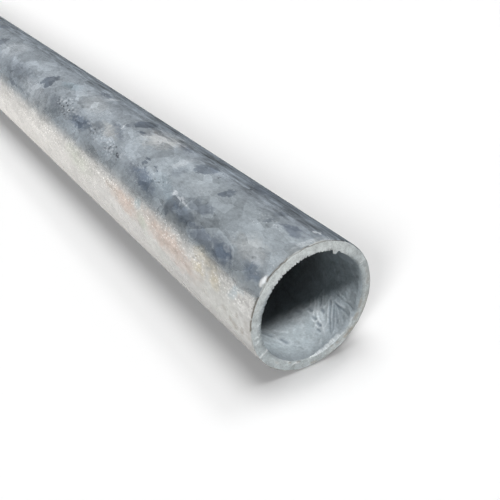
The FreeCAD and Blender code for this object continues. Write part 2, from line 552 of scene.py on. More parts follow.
def shapeSawnEnd(mesh, spec, segments):
    x, angle, radius = readPlaces(mesh)
    degrees = np.degrees(angle)
    turned = degrees % 360
    depth = endX - x  # from the end that the photograph shows
    up = radius - boreRadius
    level = 0 * up  # for a noise that changes only round the tube
    face = (depth < hair) * 1.0
    rounding = tubeMesh["edgeRound"] + hair
    corner = (depth < rounding) * (up > wall - rounding)
    bore = (up < 5 * hair) * (depth < spec["reach"]) * (face == 0)
    outside = (up > wall - hair) * (depth < spec["reach"])
    coat = (outside + corner > 0) * 1.0
    near = (face + coat > 0) * 1.0
    y, z = -radius * np.sin(angle), axisZ + radius * np.cos(angle)
    seen = seenOnFace(x, y, z)

    # The bore edge is worn round at the right
    wornFace = np.clip(1 - up / spec["wornUp"], 0, 1)
    wornBore = np.clip(1 - depth / (3 * spec["wornBack"]), 0, 1) * bore
    back = np.where(face > 0, wornFace, wornBore) * softBand(degrees, *spec["worn"])
    x = x - spec["wornBack"] * back * (1 + spec["wornWaver"] * softNoise("wear", level, angle))

    # Torn teeth along the bore edge, and the burr that hangs from it
    nearBore = np.where(face > 0, hump(up, spec["toothReach"]), hump(depth, spec["toothReach"]) * bore)
    number = np.rint(angle / (2 * np.pi) * segments).astype(int) % segments
    notch = toothDepths(segments, spec)[number]
    share = spec["toothLeast"] + (1 - spec["toothLeast"]) * softBand(degrees, *spec["teeth"])
    radius = radius + spec["toothDepth"] * notch * share * nearBore
    across = wrapped(angle - np.radians(spec["tabAngle"])) * boreRadius
    tab = softBand(across, -spec["tabHalfWidth"], spec["tabHalfWidth"], spec["tabSoft"])
    notchDepth, notchWidth = spec["tabNotch"]
    beside = hump(np.abs(across) - 2 * spec["tabHalfWidth"], notchWidth)
    radius = radius + (notchDepth * beside - spec["tabDrop"] * tab) * nearBore

    # Two cuts that don't quite meet, the grain that the blade left, crumbs and pits
    lower = 1 - softBand(degrees, *spec["stepAngles"])
    grain = spec["grainHeight"] * softNoise("grain", up, angle)
    coarse = spec["coarseHeight"] * softNoise("coarse", up, angle)
    x = x + face * (grain + coarse - spec["stepDepth"] * lower)
    torn = patches("tornThreads", up, angle)
    crumbs = nearPaths(y, z, faceCrumbs, onFace) * face * torn
    # The crest along the worn bore edge is a painted highlight
    crestHighlight = nearPaths(*seen, wornEdgeHighlight, onFace) * (face + bore > 0) * (depth < spec["seenDepth"]) * torn
    pits = nearPaths(y, z, facePits, onFace) * face
    middle, width = spec["roughUp"]
    rough = softBand(turned, *spec["rough"]) * hump(up - middle, width) * face
    crumble = softNoise("crumble", up, angle)
    x = x + spec["crumbHeight"] * (crumbs - pits) + spec["roughHeight"] * rough * crumble

    # The zinc coat has chipped back from the upper edge, with a crevice under it
    long, short = spec["chipShares"]
    chips = long * softNoise("chips", level, angle) + short * softNoise("fineChips", level, angle)
    middle, spread, most = spec["chipSpread"]
    seam = spec["lipDepth"][0] + spec["lipDepth"][1] * np.clip(middle + spread * chips, 0, most)
    chipped = np.clip((seam - depth) / spec["lipSharp"], 0, 1) * coat * softBand(degrees, *spec["lip"])
    middle, width = spec["paleLipDepth"]
    paleLip = softBand(degrees, *spec["paleLip"]) * hump(depth - middle, width) * outside
    paleLip = paleLip * patches("palePatches", depth, angle)
    # The crevice and the lower outer edge get a dark brown line: painted shade
    lines = nearPaths(*seen, creviceShadeLines, onFace) * near * (depth < spec["seenDepth"])
    below, soft = spec["edgeLineUp"]
    edgeLine = softBand(turned, *spec["edgeLine"]) * np.clip((up - wall + below) / soft, 0, 1)
    edgeLine = edgeLine * (depth < spec["edgeLineDepth"]) * patches("edgeLineGaps", level, angle)
    lines = np.maximum(lines, edgeLine)
    radius = radius - spec["creviceDepth"] * lines * coat - spec["chipDepth"] * chipped * (1 + chips)
    waver = 1 + softNoise("edgeWaver", level, angle)
    radius = radius - coat * hump(depth, spec["edgeReach"]) * spec["edgeWaver"] * waver

    # A drop of zinc at the edge; the outside material paints it near white, a painted highlight
    along, around = onOutside(spec["blobPixel"])
    halfLength, halfWidth = spec["blobHalfSize"]
    gap = np.hypot((x - along) / halfLength, (angle * outerRadius - around) / halfWidth)
    drop = np.exp(-gap ** 4) * (radius > outerRadius - spec["blobBelow"])
    radius = radius + spec["blobHeight"] * drop

    # What the materials read
    shares = spec["shares"]
    least, more = spec["upperShade"]
    shade = np.clip(least + more * np.cos(angle - np.radians(spec["upperCut"])), 0, 1)
    shade = np.maximum(shade, shares["brownLight"] * softBand(degrees, *spec["brownLight"]))
    # Beside the teeth and beside the worn edge the face is painted darker: painted shade
    besideShade = np.maximum(softBand(degrees, *spec["shadeBesideTeeth"]), softBand(degrees, *spec["shadeBesideWorn"]))
    besideShade = besideShade * hump(up, spec["edgeShadeUp"])
    start, soft = spec["brownUp"]
    brown = softBand(degrees, *spec["brown"]) * np.clip((up - start) / soft, 0, 1)
    brown = shares["brown"] * brown * patches("brownPatches", up, angle)
    brown = np.maximum(brown, nearPaths(y, z, faceStains, onFace))
    # Bright: white crumbs and the rough zone, with the painted highlights on the worn edge and the burr
    bright = crumbs + crestHighlight + shares["rough"] * rough * np.clip(crumble, 0, 1)
    writePlaces(mesh, x, angle, radius)
    addAttribute(mesh, "upperCut", shade * (1 - besideShade))
    addAttribute(mesh, "browned", np.maximum(brown, shares["pits"] * pits) * face)
    addAttribute(mesh, "edgeShade", shares["besideShade"] * besideShade * face)
    addAttribute(mesh, "crevice", lines)
    addAttribute(mesh, "bright", np.clip(bright, 0, 1))
    addAttribute(mesh, "chip", np.maximum(chipped, shares["paleLip"] * paleLip))
    addAttribute(mesh, "drop", drop)
    print("sawn end shaped")


def shapeBore(mesh, relief, fan):
    x, angle, radius = readPlaces(mesh)
    depth = endX - x
    around = angle % (2 * np.pi) * boreRadius
    inside = (radius < boreRadius + 5 * hair) * (depth > relief["start"]) * 1.0
    height, hollow, valley, darkZone = [
        nearPaths(depth, around, paths, onBore) for paths in (boreRuns, borePits, boreValleys, boreDarkZones)]
    ring = np.clip(nearPaths(depth, around, borePits, onBore, relief["ringWiden"]) - hollow, 0, 1)

    # Ripples, by their bearing from the place where they start
    along = depth - fan["depth"]
    across = wrapped(angle - np.radians(fan["angle"])) * boreRadius
    bearing = np.degrees(np.arctan2(across, along)) % 360
    for turn, name in zip(fan["bend"], ("fanBend", "fanWaver")):
        bearing = bearing + turn * softNoise(name, depth, angle)
    ripple = softNoise("ripples", 0 * depth, np.radians(bearing))
    ripple = ripple * softBand(bearing, *fan["spread"]) * softBand(np.hypot(along, across), *fan["reach"])

    # Slow swells, which fade with depth
    swell = softNoise("swell", depth, angle) + relief["fineSwell"] * softNoise("fineSwell", depth, angle)
    fade = hump(depth, relief["swellReach"]) * np.clip(depth / relief["swellStart"], 0, 1)
    lift = relief["runHeight"] * height + relief["ringHeight"] * ring
    lift = lift - relief["pitDepth"] * hollow - relief["valleyDepth"] * valley
    lift = lift + relief["swellHeight"] * swell * fade + fan["height"] * ripple

    # What the material reads: paler on ridges, rings, ripples and swells, a painted highlight, and darker in
    # hollows, valleys, the dark zones and between ripples, a painted shade
    share = relief["paleShares"]
    pale = height + share["ring"] * ring + share["ripple"] * np.clip(ripple, 0, 1)
    pale = pale + share["swell"] * np.clip(swell, 0, 1) * fade
    share = relief["darkShares"]
    dark = share["hollow"] * hollow + share["valley"] * valley
    dark = dark + share["darkZone"] * darkZone + share["ripple"] * np.clip(-ripple, 0, 1)
    writePlaces(mesh, x, angle, radius - inside * lift)
    addAttribute(mesh, "runs", np.clip(pale, 0, 1) * inside)
    addAttribute(mesh, "hollow", np.clip(dark, 0, 1) * inside)
    print("bore shaped")


def markRegions(mesh):
    # Outside 0, bore 1, sawn faces 2: the order of the materials
    centres = np.empty(3 * len(mesh.polygons))
    mesh.polygons.foreach_get("center", centres)
    x, y, z = centres.reshape(-1, 3).T
    radius = np.hypot(y, z - axisZ)
    regions = np.zeros(len(x), dtype=int)
    regions[radius < boreRadius + 2 * hair] = 1
    regions[(radius < outerRadius - tubeMesh["edgeRound"] / 2) & (np.abs(x) > endX - 10 * hair)] = 2
    degrees = np.degrees(np.arctan2(-y, z - axisZ))
    worn = (degrees > sawnEnd["worn"][0]) & (degrees < sawnEnd["worn"][1])
    regions[worn & (x > 0) & (radius < boreRadius + 0.9 * sawnEnd["wornUp"])] = 1
    return regions


regions = markRegions(tube.data)
shapeSawnEnd(tube.data, sawnEnd, tubeMesh["segments"])
shapeBore(tube.data, boreRelief, boreFan)


def unroll(mesh):
    # A map of the tube's surface in metres: along it, then round it from the top
    corners = np.empty(len(mesh.loops), dtype=int)
    mesh.loops.foreach_get("vertex_index", corners)
    starts = np.empty(len(mesh.polygons), dtype=int)
    mesh.polygons.foreach_get("loop_start", starts)
    sizes = np.empty(len(mesh.polygons), dtype=int)
    mesh.polygons.foreach_get("loop_total", sizes)
    x, angle, _ = readPlaces(mesh)
    first = np.repeat(angle[corners[starts]], sizes)
    around = first + wrapped(angle[corners] - first)
    flat = np.stack([x[corners], around * outerRadius], axis=1)
    mesh.uv_layers.new(name="unrolled").data.foreach_set("uv", flat.ravel())


unroll(tube.data)


# Looks

def toLinear(hexColour):
    parts = [int(hexColour[i:i + 2], 16) / 255 for i in (1, 3, 5)]
    return [p / 12.92 if p <= 0.04045 else ((p + 0.055) / 1.055) ** 2.4 for p in parts] + [1]


def addNode(tree, kind, inputs=None, stops=None, **settings):
    node = tree.nodes.new(kind)
    for name, value in settings.items():
        setattr(node, name, value)
    for socket, value in (inputs or {}).items():
        if isinstance(value, bpy.types.Node):
            value = next(output for output in value.outputs if output.enabled)
        if isinstance(value, bpy.types.NodeSocket):
            tree.links.new(value, node.inputs[socket])
        else:
            node.inputs[socket].default_value = value
    for number, (place, colour) in enumerate(stops or []):
        elements = node.color_ramp.elements
        element = elements[number] if number < 2 else elements.new(place)
        element.position = place
        element.color = colour
    return node


def newMaterial(name):
    material = bpy.data.materials.new(name)
    material.use_nodes = True
    return material, material.node_tree, material.node_tree.nodes["Principled BSDF"]


# Marks of the zinc that the photograph shows, by tone.
# Each has the two ends of its long axis and a point on its long side, as pixels, and its strength.
markTones = {
    "slate": {"colour": "#838993", "soft": 0.3, "torn": 1.0},
    "crystal": {"colour": "#7E858F", "soft": 0.1, "torn": 0.35},
    "indigo": {"colour": "#778394", "soft": 0.35, "torn": 0.8},
    "ink": {"colour": "#56595F", "soft": 0.35, "torn": 0.6},
    "beige": {"colour": "#F0EAE2", "soft": 0.45, "torn": 1.0},
    "pale": {"colour": "#FFFFFF", "soft": 0.3, "torn": 0.7},
    "teal": {"colour": "#B4C2C8", "soft": 0.3, "torn": 0.6},
    "peach": {"colour": "#C2B6AF", "soft": 0.6, "torn": 0.6},
    "olive": {"colour": "#BBC1B7", "soft": 0.6, "torn": 0.8},
    "ochre": {"colour": "#CAC3B2", "soft": 0.6, "torn": 0.8},
    "sky": {"colour": "#B3C4CE", "soft": 0.5, "torn": 0.7},
    "rust": {"colour": "#8F877C", "soft": 0.4, "torn": 0.6},
}

marks = {
    "slate": {
        "farStreak": ((0, 27.5), (10, 26.5), (4, 29), 1.2),
        "farBlotch": ((-2, 41), (8, 41.5), (3, 44.5), 0.8),
        "farZone": ((8, 63), (31, 80), (25, 65), 0.5),
        "farPatch": ((9, 79), (17, 86), (14.5, 80.5), 0.8),
        "edgeStreakFar": ((52, 57), (78, 73), (66, 62.5), 0.15),
        "edgeStreakMiddle": ((84, 78), (104, 90), (95, 82.5), 0.4),
        "edgeDash": ((102, 92), (111, 98), (107.5, 93.8), 1.3),
        "spotLow": ((95, 122), (103, 128), (100.5, 122.5), 0.4),
        "patchLow": ((114, 122), (121, 140), (121, 128), 0.65),
        "greyCorner": ((181, 143.5), (191, 152.5), (188.5, 145), 0.9),
        "patchMiddle": ((172, 172.5), (190, 170), (178, 167), 0.4),
        "patchNear": ((188, 201), (213, 213), (204, 202), 0.6),
        "zoneMiddle": ((128, 163), (150, 186), (143.5, 170), 0.55),
        "streakNear": ((190, 226), (216, 252), (208, 232), 0.65),
        "zoneNear": ((211, 239), (230, 263), (229, 246), 0.85),
        "topNear": ((284, 224), (303, 237), (297, 227), 0.85),
        "edgeNear": ((252, 183), (278, 200), (266, 189), 1.0),
        "edgeLast": ((284, 203), (312, 220), (300, 210), 0.3),
    },
    "crystal": {
        "farRing": ((14, 49.2), (18, 50.2), (16, 51.8), 0.5),
        "boundaryLine": ((14, 83), (49, 112), (32.4, 96.2), 0.45),
        "oblongCrystal": ((42, 81), (58, 79.5), (49, 76.3), 1.0),
        "oblongLow": ((44, 87), (53.5, 81.5), (46, 82.5), 1.0),
        "leaningCrystal": ((52, 96), (57, 111), (60, 100), 0.4),
        "lensDark": ((136, 123.3), (157.5, 126.8), (148, 121.6), 1.3),
        "crescent": ((125.5, 127), (139, 122.6), (131, 122.6), 0.5),
        "smudge": ((138.5, 131), (150.5, 136.5), (145.5, 131.8), 1.1),
        "lensMiddle": ((195.5, 166.5), (217.5, 172.5), (208.5, 165), 0.75),
        "archLens": ((217, 195), (236.5, 193), (227, 190.3), 0.75),
        "angularCrystal": ((164, 212), (181, 197), (178, 208), 0.55),
        "dashOne": ((142, 161), (147, 165), (146, 162), 0.85),
        "dashTwo": ((145.5, 158), (150.5, 161.5), (148.5, 158.6), 0.9),
        "dashThree": ((154, 167), (160, 171.5), (158, 168), 0.9),
        "crescentNear": ((274, 215.5), (289, 213.5), (282, 216.8), 0.45),
        "arcNear": ((263, 221), (277, 219), (270, 218), 0.5),
    },
    "indigo": {
        "blueOval": ((71, 115), (89, 129), (84, 117.5), 0.85),
        "blueLow": ((137, 169), (153, 193), (151, 177), 0.65),
        "blueMiddle": ((174, 205), (191, 224), (189, 211), 0.55),
        "blueNear": ((245, 265), (261, 280), (259, 268), 0.6),
        "blueEnd": ((215, 246), (228, 260), (227, 250), 0.6),
    },
    "ink": {
        "eye": ((153, 132.6), (157, 132.2), (155, 131.2), 1.0),
        "pitA": ((116.3, 152.6), (119, 156.8), (119, 154), 1.3),
        "pitB": ((112.6, 151), (114.4, 153), (114.3, 151.6), 1.2),
        "pitC": ((108, 147.2), (110, 149), (109.8, 147.6), 0.6),
        "pitD": ((217, 176.6), (219.6, 178.6), (219, 176.8), 0.8),
        "pitE": ((247.5, 188.8), (253, 190.3), (250.3, 188.4), 1.1),
    },
    "beige": {
        "warmFar": ((86, 96), (105, 112), (101, 97), 0.25),
        "warmLow": ((104, 124), (115, 137), (113, 126), 0.6),
        "patchWarm": ((148, 134), (182, 147), (168, 134), 0.6),
        "warmMiddle": ((190, 178), (210, 196), (206, 182), 0.05),
        "warmNear": ((237, 239), (265, 258), (257, 239), 0.35),
    },
    "pale": {
        "paleFar": ((5, 47), (27, 50.5), (16, 42), 0.45),
        "paleSmooth": ((23, 80), (48, 106), (41, 87), 0.6),
        # A painted highlight
        "highlightLine": ((108, 99.2), (120, 100.8), (114, 98.8), 0.75),
        "paleWedge": ((173, 166.5), (194, 160.5), (183, 160.3), 0.45),
        "node": ((174, 192), (178.5, 192), (176, 190), 1.0),
        "nodeRun": ((177, 194), (189, 207), (184, 199.6), 1.0),
        "whiteDot": ((272, 224.2), (275, 226), (274.4, 224.2), 0.35),
        "edgeWhite": ((314.5, 232), (319.5, 233.5), (317, 231.6), 1.3),
        "whiteCross": ((122, 129), (126, 123.6), (124.6, 126.6), 0.7),
        "paleEnd": ((252, 258), (262, 266), (260, 259), 0.4),
        "paleLip": ((291, 250.5), (322, 237.5), (300, 243.5), 0.35),
        "paleLipLow": ((255, 292), (250, 312), (254, 301), 0.2),
        "paleFlank": ((237, 300), (244, 312), (243.5, 304.5), 0.3),
    },
    "teal": {
        "tealFar": ((64, 83), (81, 89), (73, 82.5), 0.6),
        "tealMiddle": ((154, 175), (170, 199), (171, 183), 0.35),
        "tealFlank": ((135.5, 199), (138.5, 211), (141, 204.5), 0.7),
    },
    "peach": {
        "peachFar": ((111, 187), (139, 218), (129.6, 198.8), 1.1),
        "peachNear": ((147, 219), (192, 272), (174.6, 240.4), 1.2),
    },
    "olive": {
        "oliveFar": ((68, 148), (88, 172), (83, 156), 0.6),
        "oliveMiddle": ((138, 215), (146, 228), (145.6, 219.6), 0.7),
        "oliveLow": ((146, 238), (172, 266), (161.6, 249.6), 0.2),
        "oliveEnd": ((196, 278), (246, 336), (232, 300), 0.2),
        "oliveNear": ((196, 276), (232, 298), (217, 283), 0.15),
    },
    "ochre": {
        "ochreHigh": ((196, 249), (213, 265), (208, 253.6), 0.6),
        "ochreMiddle": ((194, 263), (204, 274), (202, 265.5), 0.8),
        "ochreNear": ((211, 271), (218.5, 288), (219, 278), 0.8),
    },
    "sky": {
        "skySpot": ((229, 298), (241, 285), (237.5, 294), 0.5),
        "skyHigh": ((236, 284), (245, 292), (243, 286), 0.3),
    },
    "rust": {
        "peachLine": ((162, 239), (190, 269), (177, 253), 0.2),
        "peachLineFar": ((104, 178), (116, 191), (110.8, 183.6), 0.5),
        "speckA": ((221.5, 305), (227, 311.5), (226, 307), 0.4),
        "speckB": ((228.5, 317), (232, 321), (231.6, 318), 0.45),
        "speckC": ((232, 322.5), (238, 329), (236.4, 324.4), 0.5),
        "speckD": ((240, 329.6), (243.4, 334), (243.4, 331), 0.5),
        "speckE": ((235, 314.6), (237.4, 318), (237.8, 315.6), 0.35),
        "speckF": ((212, 276), (215, 281), (215.2, 277.6), 0.15),
        "stainEnd": ((246, 322), (248.5, 338), (249, 329), 0.3),
    },
}

grainClusters = {
    "farCluster": ((57, 98), (77, 116), (72, 101.5), 1.0),
    "lowCluster": ((86, 122), (104, 142), (99.5, 127), 0.6),
    "pitCluster": ((104, 142), (122, 158), (119, 147), 0.8),
}

speckleFields = {
    "flankFar": ((10, 98), (66, 150), (42, 119.5), 0.7),
    "boundaryFar": ((78, 154), (132, 202), (108.6, 173.8), 0.6),
    "flankLine": ((72, 162), (102, 192), (88.6, 175.4), 0.8),
    "boundaryNear": ((143, 201), (192, 246), (170.6, 220.4), 0.75),
    "flankNear": ((196, 262), (232, 306), (216, 281), 0.25),
    "endCluster": ((262, 217), (279, 229), (274, 219), 0.6),
}


def addMark(tree, surface, spec, near, far, before):
    # One soft oval on the unrolled map, laid over the marks before it
    start, end, side = [onOutside(pixel) for pixel in spec[:3]]
    along = end - start
    halfLength = np.hypot(*along) / 2
    middle = (start + end) / 2
    across, up = side - middle
    halfWidth = abs(along[0] * up - along[1] * across) / (2 * halfLength)
    local = addNode(tree, "ShaderNodeMapping", {
        "Vector": surface, "Location": (*middle, 0), "Scale": (2 * halfLength, 2 * halfWidth, 1),
        "Rotation": (0, 0, math.atan2(along[1], along[0]))}, vector_type="TEXTURE")
    # The gradient is 0.5 on the oval's edge
    oval = addNode(tree, "ShaderNodeTexGradient", {"Vector": local}, gradient_type="SPHERICAL")
    cover = addNode(tree, "ShaderNodeMapRange", {
        "Value": oval.outputs["Fac"], "From Min": far, "From Max": near, "To Min": 0, "To Max": spec[3]})
    if before is None:
        return cover
    return addNode(tree, "ShaderNodeMath", {0: before, 1: cover}, operation="MAXIMUM")


def addMarks(tree, surface, specs, soft, ragged):
    # The ragged noise moves the edge of every oval in and out
    near = addNode(tree, "ShaderNodeMath", {0: ragged, 1: 0.5 + soft / 2}, operation="ADD")
    far = addNode(tree, "ShaderNodeMath", {0: ragged, 1: 0.5 - soft / 2}, operation="ADD")
    cover = None
    for spec in specs.values():
        cover = addMark(tree, surface, spec, near, far, cover)
    return cover


def layOver(tree, colour, *layers):
    # Lays colours over one another, each by its share
    for share, hexColour in layers:
        colour = addNode(tree, "ShaderNodeMix", {
            0: share, 6: colour, 7: toLinear(hexColour)}, data_type="RGBA")
    return colour


# Hot-dip zinc on the outside: dull blue-grey metal with crystals from 3 to 12 mm
zincOutside = {
    "colour": "#CED2D5",
    "endColour": "#BEC2C4",  # darker towards the sawn end: painted shade
    "end": (600 * mm, 715 * mm),
    # Places from here on are round the tube from the top, positive on the camera's side
    "farColour": "#A0A5AC",  # darker on the side away from the camera: painted shade
    "far": (4 * mm, -7 * mm),
    "farShare": 0.9,
    "flankColour": "#CCCCCB",  # warmer on the camera's side: painted reflection of the pale floor
    "flank": (25 * mm, 31 * mm),
    "glintBandShadeColour": "#BCBCBB",  # painted shade along the band of white grains
    "glintBand": (31 * mm, 36 * mm),  # they thin out over this
    "glintBandShare": 0.6,
    "under": (68 * mm, 4),  # where the far side starts again below, and how fast it does
    # Near white on the drop of zinc: a painted highlight
    "dropColour": "#F4F6F7",
    "chipColour": "#B4B8B7",
    # Painted shade in the crevice and along the lower edge
    "creviceColour": "#6F6A62",
    "metallic": 0.94,
    "bareMetallic": 0.15,  # where the coat has chipped, and on the drop with its painted highlight
    "roughness": 0.27,
    "roughnessSpread": 0.12,  # from crystal to crystal
    "stretch": 1.8,  # how much longer crystals are along the tube than round it
    "bigCrystal": 10,  # mm round the tube
    "smallCrystal": 4,
    "facet": 1.8,
    "slope": 0.6,  # how much the tone changes across a crystal
    "bend": 0.8,  # mm that the crystals' edges wander
    "bigTone": 0.3,
    "smallTone": 0.3,
    "facetTone": 0.12,
    "cloudTone": 0.6,
    "grainTone": 0.9,
    "flankLoss": 0.7,  # share of the crystals that the flank loses
    "flankPitLoss": 0.75,  # and of the dark pits
    "flankSmooth": 0.3,  # how much plainer it is past the band of grains
    "streak": (9, 2, 2),  # mm
    "streakTone": 4.4,
    "streakFar": (1 * mm, -5 * mm),
    "streakFlank": 0.1,  # share of it on the flank
    "facetShift": 1.3 * mm,  # how far facets draw the edges of marks
    "bendShift": 1.8 * mm,  # and how far they wander
    "ragged": 1.2,
    "mottle": (0.4, 0.75),  # how much marks differ from crystal to crystal, and their least
    "tilt": 0.035,  # of each crystal
    "waveHeight": 0.25 * mm,
    "grainHeight": 0.02 * mm,
    # Noises in mm, where a scale of 0.1 gives patches of about 10 mm
    "slow": {"Scale": 0.11, "Detail": 2.5, "Roughness": 0.45},
    "edges": {"Scale": 0.3, "Detail": 5, "Roughness": 0.7},
    "cloud": {"Scale": 0.09, "Detail": 8, "Roughness": 0.66},
    "grain": {"Scale": 0.9, "Detail": 4, "Roughness": 0.72},
    "drawnOut": {"Scale": 1, "Detail": 3, "Roughness": 0.6},
    "torn": {"Scale": 0.55, "Detail": 5, "Roughness": 0.72},
}

speckles = {
    # Spacing in mm, colour, how far a dot reaches in its cell, and where the dots lie
    # The white grains in the fields are painted glints
    "whiteGlint": (0.85, "#FFFFFF", 0.36, "fields"),
    "darkPit": (1.5, "#56595F", 0.28, "thinned"),
    "clusterGrain": (1.4, "#FFFFFF", 0.46, "clusters"),
    "clusterPit": (1.7, "#3C4046", 0.33, "clusters"),
}

speckleLook = {
    "stray": {"From Min": 0.52, "From Max": 0.66, "To Max": 0.55},  # also where the clouds are pale
    "fieldSoft": 0.5,
    "clusterSoft": 0.4,
    "dotSoft": 0.15,
    "dotShare": 0.9,
}


def addCrystals(tree, place, size, slope):
    # Cells of one size, each with its own tone, which slopes across the cell
    cell = addNode(tree, "ShaderNodeTexVoronoi", {"Vector": place, "Scale": 1 / size})
    lean = addNode(tree, "ShaderNodeVectorMath", {
        0: cell.outputs["Color"], 1: (0.5, 0.5, 0.5)}, operation="SUBTRACT")
    offset = addNode(tree, "ShaderNodeVectorMath", {
        0: place, 1: cell.outputs["Position"]}, operation="SUBTRACT")
    across = addNode(tree, "ShaderNodeVectorMath", {0: offset, 1: lean}, operation="DOT_PRODUCT")
    parts = addNode(tree, "ShaderNodeSeparateXYZ", {0: cell.outputs["Color"]})
    tone = addNode(tree, "ShaderNodeMath", {
        0: across, 1: slope / size, 2: parts.outputs[0]}, operation="MULTIPLY_ADD")
    return cell, parts, tone


def addTones(tree, parts):
    # Sums random or noise values, each spread by its share about zero, on top of one
    total = None
    for value, share in parts:
        if total is None:
            centred = 1 - share / 2
        else:
            centred = addNode(tree, "ShaderNodeMath", {0: total, 1: share / 2}, operation="SUBTRACT")
        total = addNode(tree, "ShaderNodeMath", {0: value, 1: share, 2: centred}, operation="MULTIPLY_ADD")
    return total


def makeOutsideZinc(spec):
    material, tree, shader = newMaterial("hotDipZincOutside")
    half = (0.5, 0.5, 0.5)
    place = addNode(tree, "ShaderNodeTexCoord")
    inMm = addNode(tree, "ShaderNodeMapping", {
        "Vector": place.outputs["Object"], "Scale": (1000 / spec["stretch"], 1000, 1000)})
    slow = addNode(tree, "ShaderNodeTexNoise", {"Vector": inMm, **spec["slow"]})
    edges = addNode(tree, "ShaderNodeTexNoise", {"Vector": inMm, **spec["edges"]})
    shifted = addNode(tree, "ShaderNodeVectorMath", {
        0: edges.outputs["Color"], 1: half}, operation="SUBTRACT")
    bent = addNode(tree, "ShaderNodeVectorMath", {
        0: shifted, 1: [2 * spec["bend"]] * 3, 2: inMm}, operation="MULTIPLY_ADD")
    big, _, bigTone = addCrystals(tree, bent, spec["bigCrystal"], spec["slope"])
    small, smallParts, smallTone = addCrystals(tree, bent, spec["smallCrystal"], spec["slope"])
    facet, _, facetTone = addCrystals(tree, bent, spec["facet"], spec["slope"])
    cloud = addNode(tree, "ShaderNodeTexNoise", {"Vector": bent, **spec["cloud"]})
    grain = addNode(tree, "ShaderNodeTexNoise", {"Vector": inMm, **spec["grain"]})

    # The place round the tube, which turns back to the far side underneath
    flat = addNode(tree, "ShaderNodeUVMap", uv_map="unrolled")
    around = addNode(tree, "ShaderNodeSeparateXYZ", {0: flat})
    start, speed = spec["under"]
    back = addNode(tree, "ShaderNodeMath", {
        0: around.outputs["Y"], 1: -speed, 2: start * speed}, operation="MULTIPLY_ADD")
    roundTube = addNode(tree, "ShaderNodeMath", {0: around.outputs["Y"], 1: back}, operation="MINIMUM")

    # Drawn out along the tube on the far side, smoother on the flank, whose warmer colour, laid on below, is
    # a painted reflection
    streakPlace = addNode(tree, "ShaderNodeMapping", {
        "Vector": inMm, "Scale": spec["streak"]}, vector_type="TEXTURE")
    streak = addNode(tree, "ShaderNodeTexNoise", {"Vector": streakPlace, **spec["drawnOut"]})
    streak = addNode(tree, "ShaderNodeMath", {0: streak, 1: 0.5}, operation="SUBTRACT")
    farSide = addNode(tree, "ShaderNodeMapRange", {
        "Value": roundTube, "From Min": spec["streakFar"][0], "From Max": spec["streakFar"][1],
        "To Max": spec["streakTone"]})
    flank = addNode(tree, "ShaderNodeMapRange", {
        "Value": roundTube, "From Min": spec["flank"][0], "From Max": spec["flank"][1]})
    drawn = addNode(tree, "ShaderNodeMath", {
        0: flank, 1: spec["streakFlank"] * spec["streakTone"], 2: farSide}, operation="MULTIPLY_ADD")
    drawn = addNode(tree, "ShaderNodeMath", {0: streak, 1: drawn}, operation="MULTIPLY")
    crystals = addTones(tree, [
        (bigTone, spec["bigTone"]), (smallTone, spec["smallTone"]), (facetTone, spec["facetTone"])])
    crystals = addNode(tree, "ShaderNodeMath", {0: crystals, 1: 1}, operation="SUBTRACT")
    spangle = addNode(tree, "ShaderNodeMath", {
        0: flank, 1: -spec["flankLoss"], 2: 1}, operation="MULTIPLY_ADD")
    crystals = addNode(tree, "ShaderNodeMath", {
        0: crystals, 1: spangle, 2: drawn}, operation="MULTIPLY_ADD")
    tone = addTones(tree, [(cloud, spec["cloudTone"]), (grain, spec["grainTone"])])
    tone = addNode(tree, "ShaderNodeMath", {0: tone, 1: crystals}, operation="ADD")
    smooth = addNode(tree, "ShaderNodeMapRange", {
        "Value": roundTube, "From Min": spec["glintBand"][0], "From Max": spec["glintBand"][1],
        "To Max": spec["flankSmooth"]})
    tone = addNode(tree, "ShaderNodeMix", {0: smooth, 2: tone, 3: 1.0})

    # Marks. Their surface ends in a plain Mapping node, which keeps the shader small enough to render
    facets = addNode(tree, "ShaderNodeVectorMath", {
        0: facet.outputs["Color"], 1: half}, operation="SUBTRACT")
    facets = addNode(tree, "ShaderNodeVectorMath", {
        0: facets, 1: [spec["facetShift"]] * 3, 2: flat}, operation="MULTIPLY_ADD")
    surface = addNode(tree, "ShaderNodeVectorMath", {
        0: shifted, 1: [spec["bendShift"]] * 3, 2: facets}, operation="MULTIPLY_ADD")
    surface = addNode(tree, "ShaderNodeMapping", {"Vector": surface})
    torn = addNode(tree, "ShaderNodeTexNoise", {"Vector": inMm, **spec["torn"]})
    ragged = addNode(tree, "ShaderNodeMath", {
        0: torn, 1: spec["ragged"], 2: -spec["ragged"] / 2}, operation="MULTIPLY_ADD")
    mottle = addNode(tree, "ShaderNodeMath", {
        0: smallParts.outputs[2], 1: spec["mottle"][0], 2: spec["mottle"][1]}, operation="MULTIPLY_ADD")
    glintBand = addNode(tree, "ShaderNodeMapRange", {
        "Value": roundTube, "From Min": spec["glintBand"][1], "From Max": spec["glintBand"][0],
        "To Max": spec["glintBandShare"]})
    glintBand = addNode(tree, "ShaderNodeMath", {0: glintBand, 1: flank}, operation="MULTIPLY")
    farShare = addNode(tree, "ShaderNodeMapRange", {
        "Value": roundTube, "From Min": spec["far"][0], "From Max": spec["far"][1],
        "To Max": spec["farShare"]})
    ending = addNode(tree, "ShaderNodeMapRange", {
        "Value": around.outputs["X"], "From Min": spec["end"][0], "From Max": spec["end"][1]})
    # Darker towards the sawn end and on the far side, painted shade; warmer on the flank, painted
    # reflection; darker along the band of grains, painted shade
    colour = layOver(
        tree, toLinear(spec["colour"]), (ending, spec["endColour"]), (farShare, spec["farColour"]),
        (flank, spec["flankColour"]), (glintBand, spec["glintBandShadeColour"]))
    for name, look in markTones.items():
        edge = addNode(tree, "ShaderNodeMath", {0: ragged, 1: look["torn"]}, operation="MULTIPLY")
        cover = addMarks(tree, surface, marks[name], look["soft"], edge)
        cover = addNode(tree, "ShaderNodeMath", {0: cover, 1: mottle}, operation="MULTIPLY")
        colour = layOver(tree, colour, (cover, look["colour"]))
